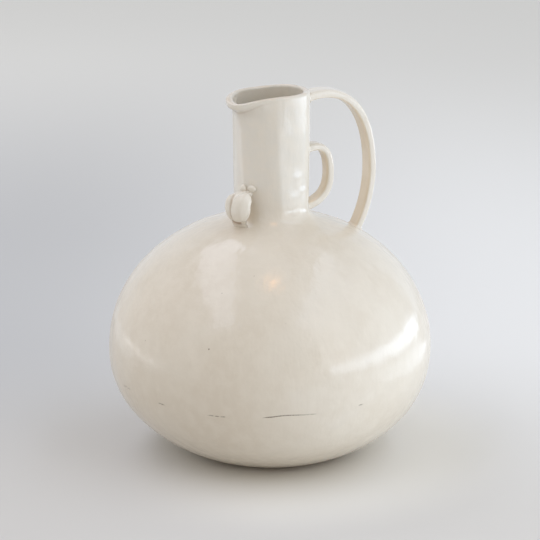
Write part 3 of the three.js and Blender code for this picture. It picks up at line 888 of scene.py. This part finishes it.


# Glaze, clouded with a warm tone, cooler on the neck as painted reflected light, another tone inside,
# bare clay at the foot. On the straps the inside tone is painted light on their shaded inner faces.
def glaze(name, colour, warm, cool_painted_light, inner):
    g = Graph(name)
    where = g.add("TexCoord").outputs["Object"]
    stretched = g.add("Mapping", {"Vector": where, "Scale": (1.0, 1.0, 0.28)}).outputs["Vector"]
    clouds = g.noise(where, 16.0, 3.0, 0.55)
    mottle = g.noise(where, 95.0, 3.0, 0.6)
    level = g.add("SeparateXYZ", {"Vector": where}).outputs["Z"]
    tone = g.blend(g.fit(clouds, 0.3, 0.7, 0.0, 0.6), colour, warm)
    # Painted light: the neck is tinted cooler to stand for the bluish light it reflects.
    tone = g.blend(g.fit(level, 0.195, 0.222, 0.0, 0.7), tone, cool_painted_light)
    light = tuple(min(1.0, c * 1.03) for c in colour[:3]) + (1.0,)
    tone = g.blend(g.fit(mottle, 0.35, 0.7, 0.0, 0.55), tone, light)
    thin = g.add("Attribute", attribute_name="thin").outputs["Fac"]
    thin = g.math("MULTIPLY", thin, g.fit(mottle, 0.3, 0.65, 0.15, 0.75))
    tone = g.blend(thin, tone, THIN_GLAZE)
    # Brown from the stain attribute: the line and blush under the lip, and painted shade on the front lug.
    stain_and_shade = g.add("Attribute", attribute_name="stain_and_shade").outputs["Fac"]
    tone = g.blend(stain_and_shade, tone, STAIN_AND_SHADE)
    inside = g.add("Attribute", attribute_name="inside").outputs["Fac"]
    tone = g.blend(inside, tone, inner)
    cells = g.add("TexVoronoi", {"Vector": where, "Scale": 60.0, "Randomness": 1.0}, feature="F1")
    chance = g.add("SeparateColor", {"Color": cells.outputs["Color"]}).outputs[0]
    rare = g.math("GREATER_THAN", chance, 0.93)
    dot = g.fit(cells.outputs["Distance"], 0.012, 0.03, 1.0, 0.0)
    speck = g.math("MULTIPLY", g.math("MULTIPLY", dot, rare), 0.55)
    for angle, height, size in SPECKS:
        turn = math.radians(angle) + VIEW
        radius = float(wall_radius(height))
        spot = sway(np.array([radius * math.cos(turn), radius * math.sin(turn), height])) * MM
        gap = g.add("VectorMath", {0: where, 1: tuple(spot)}, operation="DISTANCE").outputs["Value"]
        speck = g.math("MAXIMUM", speck, g.fit(gap, size * MM * 0.5, size * MM * 1.3, 0.85, 0.0))
    tone = g.blend(speck, tone, IRON)
    crack = g.add("Attribute", attribute_name="crack").outputs["Fac"]
    ragged = g.math("MULTIPLY", crack, g.fit(g.noise(where, 700.0, 2.0), 0.3, 0.55, 0.45, 1.0))
    tone = g.blend(ragged, tone, CRACK)
    edge = g.math("ADD", level, g.math("MULTIPLY", g.noise(where, 60.0, 2.0), 0.004))
    bare = g.fit(edge, BARE_FULL, BARE_END, 1.0, 0.0)
    clay = g.blend(g.noise(where, 500.0, 4.0, 0.7), CLAY_LIGHT, CLAY_DARK)
    tone = g.blend(bare, tone, clay)
    rough = g.fit(mottle, 0.3, 0.7, 0.12, 0.22)
    rough = g.math("ADD", rough, g.math("MULTIPLY", bare, 0.55))
    ripple = g.noise(stretched, 170.0, 2.0, 0.5)
    peel = g.noise(where, 330.0, 2.0, 0.5)
    relief = g.math("ADD", ripple, g.math("MULTIPLY", peel, 0.3))
    relief = {"Strength": BUMP_STRENGTH, "Distance": BUMP_DEPTH, "Height": relief}
    bump = g.add("Bump", relief).outputs["Normal"]
    surface = {"Base Color": tone, "Roughness": rough, "IOR": 1.5, "Normal": bump}
    shader = g.add("BsdfPrincipled", surface)
    output = g.add("OutputMaterial")
    g.tree.links.new(shader.outputs["BSDF"], output.inputs["Surface"])
    return g.material


body_glaze = glaze(
    "body_glaze", rgb(219, 210, 195), rgb(211, 199, 181), rgb(217, 212, 202), rgb(210, 201, 184)
)
# The strap's inner tone is lighter and warmer than its face: painted light on its shaded inner faces.
strap_glaze = glaze(
    "strap_glaze", rgb(222, 215, 202), rgb(218, 208, 193), rgb(222, 215, 202), rgb(228, 213, 190)
)
for piece in (floor_slab, lower_bowl, upper_dome, seam_coil, neck, lip):
    piece.data.materials.append(body_glaze)
for piece in (handle, side_lug, front_lug, left_pellet, right_pellet):
    piece.data.materials.append(strap_glaze)


# Stage: pale floor with painted light and shade in its colour, soft light from the right, a strip above
# left, low lamps beside the jug, one warm lamp overhead. Places are given as the camera sees them: x
# right, y away from it, z up.
def to_frame(x, y, z):
    return Vector((x * math.cos(VIEW) - y * math.sin(VIEW), x * math.sin(VIEW) + y * math.cos(VIEW), z))


# The floor ends at the upright panels, since they light one side only.
FLOOR_CORNERS = [(-2.19, -3.0), (1.99, -3.0), (1.99, 2.55), (-2.19, 2.55)]
floor_mesh = bpy.data.meshes.new("floor")
floor_mesh.from_pydata([to_frame(x, y, 0) for x, y in FLOOR_CORNERS], [], [[0, 1, 2, 3]])
floor = bpy.data.objects.new("floor", floor_mesh)
scene.collection.objects.link(floor)
g = Graph("floor_paper_painted_light")
where = g.add("TexCoord").outputs["Object"]
beside = g.add("VectorMath", {0: where, 1: tuple(RIGHT)}, operation="DOT_PRODUCT").outputs["Value"]
AWAY = (-RIGHT[1], RIGHT[0], 0.0)
behind = g.add("VectorMath", {0: where, 1: AWAY}, operation="DOT_PRODUCT").outputs["Value"]
# Painted light and shade in the floor's colour: darker to the left, lighter to the right and far back,
# warmer in front.
floor_tone_and_light = g.blend(g.fit(beside, -0.3, 0.3), rgb(196, 196, 196), rgb(240, 240, 239))
floor_tone_and_light = g.blend(g.fit(behind, 0.6, 1.8), floor_tone_and_light, rgb(231, 230, 227))
floor_tone_and_light = g.blend(g.fit(behind, 0.3, -0.2, 0.0, 0.7), floor_tone_and_light, rgb(212, 209, 204))
# A painted pool of light close round the jug, except on its left, set against its shadow.
near = g.add("VectorMath", {0: where}, operation="LENGTH").outputs["Value"]
near = g.math("MULTIPLY", g.fit(near, 0.13, 0.22, 1.0, 0.0), g.fit(beside, -0.13, 0.02))
floor_tone_and_light = g.blend(near, floor_tone_and_light, rgb(237, 235, 230))
shader = g.add("BsdfPrincipled", {"Base Color": floor_tone_and_light, "Roughness": 0.9, "Specular IOR Level": 0.1})
output = g.add("OutputMaterial")
g.tree.links.new(shader.outputs["BSDF"], output.inputs["Surface"])
floor_mesh.materials.append(g.material)


# The low lamps by the table light only the jug: they stand for the bright table that it mirrors.
glazed = bpy.data.collections.new("glazed")
for piece in (lower_bowl, upper_dome, neck, lip, handle, side_lug, front_lug, left_pellet, right_pellet):
    glazed.objects.link(piece)


# A lamp that shines from a rectangle, given by its middle and two edges,
# to the back of their cross product. The warm ceiling lamp shows in reflections only.
def panel(name, middle, across, along, radiance):
    first = to_frame(*across)
    second = to_frame(*along)
    light = bpy.data.lights.new(name, "AREA")
    light.shape = "RECTANGLE"
    light.size = first.length
    light.size_y = second.length
    level = max(radiance)
    light.energy = level * math.pi * light.size * light.size_y
    light.color = [part / level for part in radiance]
    lamp = bpy.data.objects.new(name, light)
    lamp.location = to_frame(*middle)
    axes = (first.normalized(), second.normalized(), first.cross(second).normalized())
    lamp.rotation_mode = "QUATERNION"
    lamp.rotation_quaternion = Matrix(axes).transposed().to_quaternion()
    lamp.visible_camera = False
    lamp.visible_diffuse = name != "ceiling_lamp"
    if name.startswith("table"):
        lamp.light_linking.receiver_collection = glazed
    scene.collection.objects.link(lamp)


# Each lamp: name, middle, two edges, radiance in red, green and blue.
LAMPS = [
    ("window_right_front", (2.0, -2.1, 1.7), (0, 1.8, 0), (0, 0, 3.3), (1.18, 1.2, 1.26)),
    ("window_right_middle", (2.0, -0.3, 1.7), (0, 1.8, 0), (0, 0, 3.3), (0.46, 0.54, 0.66)),
    ("window_right_back", (2.0, 1.6, 1.7), (0, 2.0, 0), (0, 0, 3.3), (0.16, 0.22, 0.3)),
    ("ceiling_right_edge", (1.045, -0.5, 2.2), (0.41, 0, 0), (0, 3.4, 0), (1.25, 1.45, 1.8)),
    ("ceiling_right", (1.625, -0.5, 2.2), (0.75, 0, 0), (0, 3.4, 0), (0.18, 0.25, 0.36)),
    ("strip_left", (-0.93, -0.2, 1.7), (0.72, -0.16, 0), (0.68, 3.1, 0), (1.75, 1.85, 2.2)),
    ("wall_left", (-2.2, 0.0, 1.2), (0, -4.0, 0), (0, 0, 2.4), (0.36, 0.38, 0.42)),
    ("wall_back", (0.0, 2.6, 1.1), (-5.0, 0, 0), (0, 0, 2.2), (0.2, 0.25, 0.32)),
    ("ceiling_lamp", (0.06, -0.28, 1.7), (0.16, 0, 0), (0, 0.3, 0), (6.4, 2.7, 0.5)),
    ("table_right", (1.2, -0.22, 0.105), (0, 2.22, 0), (0, 0, 0.2), (3.2, 3.75, 4.5)),
    ("table_right_flat", (0.5, -0.2, 0.006), (0.36, 0, 0), (0, -1.0, 0), (0.95, 1.1, 1.3)),
    ("table_right_near", (0.2, -0.29, 0.006), (0.26, 0, 0), (0, -0.34, 0), (0.42, 0.51, 0.62)),
    ("table_left", (-0.95, 0.05, 0.01), (1.0, 0, 0), (0, -1.7, 0), (0.4, 0.45, 0.5)),
    ("table_left_low", (-0.8, 0.14, 0.03), (0, -0.57, 0), (0, 0, 0.05), (1.5, 1.5, 1.5)),
]
for lamp in LAMPS:
    panel(*lamp)

# The room's even light, and the plain grey that is seen behind the floor.
ROOM = (0.54, 0.508, 0.456)
BACKDROP = rgb(206, 206, 205)
world = bpy.data.worlds.new("room")
scene.world = world
world.use_nodes = True
tree = world.node_tree
room_light = tree.nodes["Background"]
room_light.inputs["Color"].default_value = (*ROOM, 1.0)
backdrop = tree.nodes.new("ShaderNodeBackground")
backdrop.inputs["Color"].default_value = BACKDROP
path = tree.nodes.new("ShaderNodeLightPath")
seen = path.outputs["Is Camera Ray"]
for kind in ("Is Glossy Ray", "Is Transmission Ray"):
    either = tree.nodes.new("ShaderNodeMath")
    either.operation = "MAXIMUM"
    tree.links.new(seen, either.inputs[0])
    tree.links.new(path.outputs[kind], either.inputs[1])
    seen = either.outputs[0]
choice = tree.nodes.new("ShaderNodeMixShader")
tree.links.new(seen, choice.inputs[0])
tree.links.new(room_light.outputs["Background"], choice.inputs[1])
tree.links.new(backdrop.outputs["Background"], choice.inputs[2])
tree.links.new(choice.outputs["Shader"], tree.nodes["World Output"].inputs["Surface"])

CAMERA_LENS = 162.12
CAMERA_PLACE = (0, -1.9296, 0.70126)
CAMERA_PITCH = 0.277
camera_data = bpy.data.cameras.new("camera")
camera_data.sensor_width = 36
camera_data.lens = CAMERA_LENS
camera_data.clip_end = 100
camera = bpy.data.objects.new("camera", camera_data)
camera.location = to_frame(*CAMERA_PLACE)
look = to_frame(0, math.cos(CAMERA_PITCH), -math.sin(CAMERA_PITCH))
camera.rotation_mode = "QUATERNION"
camera.rotation_quaternion = look.to_track_quat("-Z", "Y")
scene.collection.objects.link(camera)
scene.camera = camera
scene.view_settings.view_transform = "Standard"
